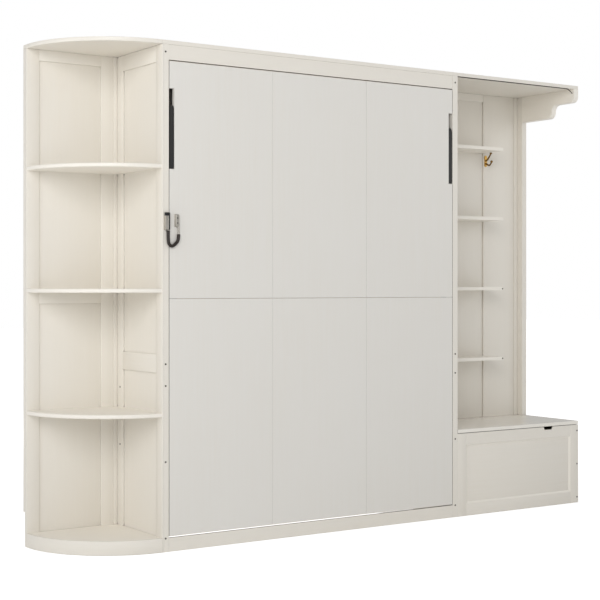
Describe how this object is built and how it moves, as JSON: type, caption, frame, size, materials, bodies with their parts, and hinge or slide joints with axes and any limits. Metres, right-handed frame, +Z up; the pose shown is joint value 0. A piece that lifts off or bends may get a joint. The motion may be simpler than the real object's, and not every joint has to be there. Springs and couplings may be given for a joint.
{
  "type": "wall bed unit",
  "caption": "Vertical folding wall bed in a framed cabinet, between a quarter-round shelf unit and a hall unit with shelves, a coat hook and a lidded storage bench.",
  "frame": {"origin": "bottom centre of the whole object's box, on the floor", "axes": "+X to the right along the wall, +Y towards the wall, +Z up"},
  "size_m": [2.964, 0.498, 2.235],
  "materials": {
    "painted_board": "satin spray paint on board, warm white",
    "painted_face": "satin spray paint on board, warm white",
    "bare_timber": "planed bare pine",
    "black_rail": "black stained and lacquered timber",
    "black_steel": "black powder coat",
    "zinc_steel": "bright zinc plate",
    "strut_paint": "black enamel",
    "hard_chrome": "ground hard chrome",
    "cable_sheath": "extruded black sheath",
    "satin_nickel": "satin nickel plate",
    "screw_steel": "zinc screws",
    "old_brass": "aged brass",
    "dark_caps": "moulded dark brown plastic"
  },
  "bodies": {
    "cabinet": {"bed_stops": "bare_timber", "bench_carcass": "painted_board", "bench_frame": "painted_board", "bench_moulding": "painted_board", "bench_top_rail": "painted_board", "coat_hook": "old_brass", "corner_strips": "painted_board", "cover_caps": "dark_caps", "hall_back_boards": "painted_board", "hall_back_rail": "painted_board", "hall_return": "painted_board", "hall_shelves": "painted_board", "header_board": "painted_board", "hook_screws": "old_brass", "left_back_frame": "painted_board", "left_deck": "painted_board", "left_plinth": "painted_board", "left_shelves": "painted_board", "lid_hinge_fixed": "zinc_steel", "lock_body": "satin_nickel", "panel_fields": "painted_board", "pivot_mounts": "zinc_steel", "scalloped_bracket": "painted_board", "scribe_strips": "painted_board", "seat_strip": "painted_board", "side_board_left": "painted_board", "side_board_right": "painted_board", "side_trim": "painted_board", "strut_mounts": "zinc_steel", "toe_board": "painted_board", "top_board_centre": "painted_board", "top_board_left": "painted_board", "top_board_right": "painted_board", "top_edge_bead": "cable_sheath", "wall_rails": "bare_timber"},
    "bed": {"face_lower_left": "painted_face", "face_lower_middle": "painted_face", "face_lower_right": "painted_face", "face_upper_left": "painted_face", "face_upper_middle": "painted_face", "face_upper_right": "painted_face", "bed_rail_left": "black_rail", "bed_rail_right": "black_rail", "bed_end_rails": "black_rail", "deck_battens": "bare_timber", "slats": "bare_timber", "bed_pivot_plates": "zinc_steel", "leg_bolts": "zinc_steel", "latch_cable": "cable_sheath", "cable_fittings": "satin_nickel", "cable_keeper": "satin_nickel", "keeper_screws": "screw_steel"},
    "leg_left": {"leg_left": "black_steel"},
    "leg_right": {"leg_right": "black_steel"},
    "lid": {"bench_lid": "painted_board", "lid_hinge_moving": "zinc_steel"},
    "strut_tube_left": {"strut_tube_left": "strut_paint"},
    "strut_tube_right": {"strut_tube_right": "strut_paint"},
    "strut_rod_left": {"strut_rod_left": "hard_chrome"},
    "strut_rod_right": {"strut_rod_right": "hard_chrome"}
  },
  "joints": [
    {"name": "bed_fold", "type": "hinge", "parent": "cabinet", "child": "bed", "pos_m": [-0.2, -0.175, 0.291], "axis": [1, 0, 0], "range_deg": [0, 90], "stiffness_Nm_per_rad": 200, "springref_deg": -14.32},
    {"name": "leg_left_swing", "type": "hinge", "parent": "bed", "child": "leg_left", "pos_m": [-0.991, -0.208, 1.934], "axis": [1, 0, 0], "range_deg": [-90, 0]},
    {"name": "leg_right_swing", "type": "hinge", "parent": "bed", "child": "leg_right", "pos_m": [0.591, -0.208, 1.934], "axis": [1, 0, 0], "range_deg": [-90, 0]},
    {"name": "bench_lid_lift", "type": "hinge", "parent": "cabinet", "child": "lid", "pos_m": [1.06, 0.167, 0.4348], "axis": [-1, 0, 0], "range_deg": [0, 65]},
    {"name": "strut_left_swing", "type": "hinge", "parent": "cabinet", "child": "strut_tube_left", "pos_m": [-0.992, -0.085, 0.771], "axis": [1, 0, 0], "range_deg": [0, 3.65]},
    {"name": "strut_left_stroke", "type": "slide", "parent": "strut_tube_left", "child": "strut_rod_left", "axis": [0, 0.0704, 0.9975], "range_m": [0, 0.1385]},
    {"name": "strut_right_swing", "type": "hinge", "parent": "cabinet", "child": "strut_tube_right", "pos_m": [0.592, -0.085, 0.771], "axis": [1, 0, 0], "range_deg": [0, 3.65]},
    {"name": "strut_right_stroke", "type": "slide", "parent": "strut_tube_right", "child": "strut_rod_right", "axis": [0, 0.0704, 0.9975], "range_m": [0, 0.1385]}
  ],
  "couplings": [
    {"joint": "strut_left_swing", "follows": "bed_fold", "ratio": 0.040396},
    {"joint": "strut_left_stroke", "follows": "bed_fold", "m_per_rad": 0.088107},
    {"joint": "strut_right_swing", "follows": "bed_fold", "ratio": 0.040396},
    {"joint": "strut_right_stroke", "follows": "bed_fold", "m_per_rad": 0.088107}
  ]
}
